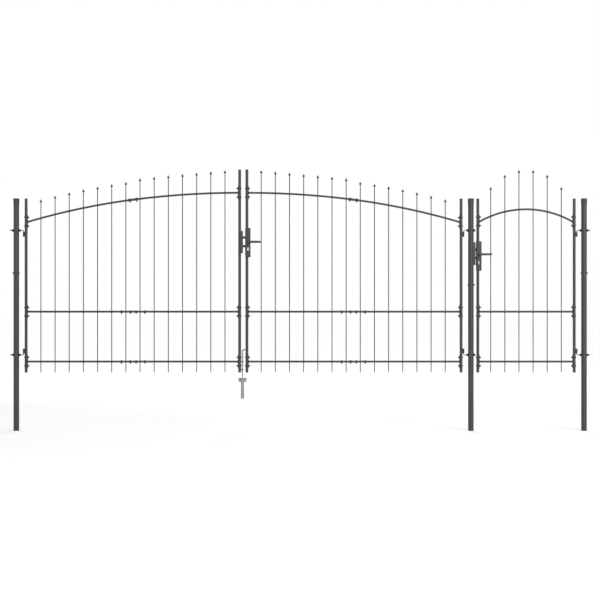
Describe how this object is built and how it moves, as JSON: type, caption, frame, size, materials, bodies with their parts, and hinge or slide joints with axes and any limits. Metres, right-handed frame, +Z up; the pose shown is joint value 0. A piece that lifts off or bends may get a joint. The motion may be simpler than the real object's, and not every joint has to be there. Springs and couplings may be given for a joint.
{
  "type": "driveway gate with walk gate",
  "caption": "Arched double driveway gate and a walk gate of round steel bars with spear heads, hung on round posts, with locks, hook hinges and a drop rod.",
  "frame": {"origin": "centre of the middle post's foot", "axes": "+X to the viewer's right along the gate, +Y away from the viewer, to which the leaves open, +Z up"},
  "size_m": [5.0019, 0.1, 2.25],
  "materials": {
    "powder_coat": "satin",
    "galvanised": "satin",
    "black_zinc": "satin",
    "bolt_steel": "satin",
    "cap_plastic": "matte"
  },
  "bodies": {
    "posts": {"left_post": "powder_coat", "middle_post": "powder_coat", "right_post": "powder_coat", "post_caps": "cap_plastic", "left_gate_hooks": "galvanised", "right_gate_hooks": "galvanised", "walk_gate_hooks": "galvanised", "hook_nuts": "black_zinc", "walk_gate_keeper": "powder_coat", "ground_socket": "galvanised"},
    "left_gate": {"left_gate_stiles": "powder_coat", "left_outer_panel": "powder_coat", "left_inner_panel": "powder_coat", "left_gate_saddles": "powder_coat", "left_gate_eyes": "powder_coat", "left_gate_end_caps": "cap_plastic", "driveway_keeper": "powder_coat", "drop_rod_eyes": "powder_coat"},
    "right_gate": {"right_gate_stiles": "powder_coat", "right_outer_panel": "powder_coat", "right_inner_panel": "powder_coat", "right_gate_saddles": "powder_coat", "right_gate_eyes": "powder_coat", "right_gate_end_caps": "cap_plastic", "driveway_lock_case": "powder_coat"},
    "walk_gate": {"walk_gate_stiles": "powder_coat", "walk_gate_panel": "powder_coat", "walk_gate_saddles": "powder_coat", "walk_gate_eyes": "powder_coat", "walk_gate_end_caps": "cap_plastic", "walk_gate_lock_case": "powder_coat"},
    "drop_rod": {"drop_rod": "galvanised"},
    "driveway_handle": {"driveway_handle": "powder_coat"},
    "driveway_latch": {"driveway_latch": "bolt_steel"},
    "driveway_dead_bolt": {"driveway_dead_bolt": "bolt_steel"},
    "walk_gate_handle": {"walk_gate_handle": "powder_coat"},
    "walk_gate_latch": {"walk_gate_latch": "bolt_steel"},
    "walk_gate_dead_bolt": {"walk_gate_dead_bolt": "bolt_steel"}
  },
  "joints": [
    {"name": "left_gate_swing", "type": "hinge", "parent": "posts", "child": "left_gate", "pos_m": [-3.85315, 0, 1.189], "axis": [0, 0, 1], "range_deg": [0, 90]},
    {"name": "right_gate_swing", "type": "hinge", "parent": "posts", "child": "right_gate", "pos_m": [-0.06385, 0, 1.189], "axis": [0, 0, -1], "range_deg": [0, 90]},
    {"name": "walk_gate_swing", "type": "hinge", "parent": "posts", "child": "walk_gate", "pos_m": [0.91105, 0, 1.189], "axis": [0, 0, -1], "range_deg": [0, 90]},
    {"name": "drop_rod_lift", "type": "slide", "parent": "left_gate", "child": "drop_rod", "axis": [0, 0, 1], "range_m": [-0.05, 0.15]},
    {"name": "driveway_lever", "type": "hinge", "parent": "right_gate", "child": "driveway_handle", "pos_m": [-1.9202, 0, 1.627], "axis": [0, 1, 0], "range_deg": [0, 40], "stiffness_Nm_per_rad": 1.2, "springref_deg": -20.05},
    {"name": "driveway_latch_slide", "type": "slide", "parent": "right_gate", "child": "driveway_latch", "axis": [1, 0, 0], "range_m": [-0.012, 0.005]},
    {"name": "driveway_dead_bolt_slide", "type": "slide", "parent": "right_gate", "child": "driveway_dead_bolt", "axis": [1, 0, 0], "range_m": [-0.012, 0.005]},
    {"name": "walk_gate_lever", "type": "hinge", "parent": "walk_gate", "child": "walk_gate_handle", "pos_m": [0.0697, 0, 1.5194], "axis": [0, 1, 0], "range_deg": [0, 40], "stiffness_Nm_per_rad": 1.2, "springref_deg": -20.05},
    {"name": "walk_gate_latch_slide", "type": "slide", "parent": "walk_gate", "child": "walk_gate_latch", "axis": [1, 0, 0], "range_m": [-0.012, 0.005]},
    {"name": "walk_gate_dead_bolt_slide", "type": "slide", "parent": "walk_gate", "child": "walk_gate_dead_bolt", "axis": [1, 0, 0], "range_m": [-0.012, 0.005]}
  ]
}
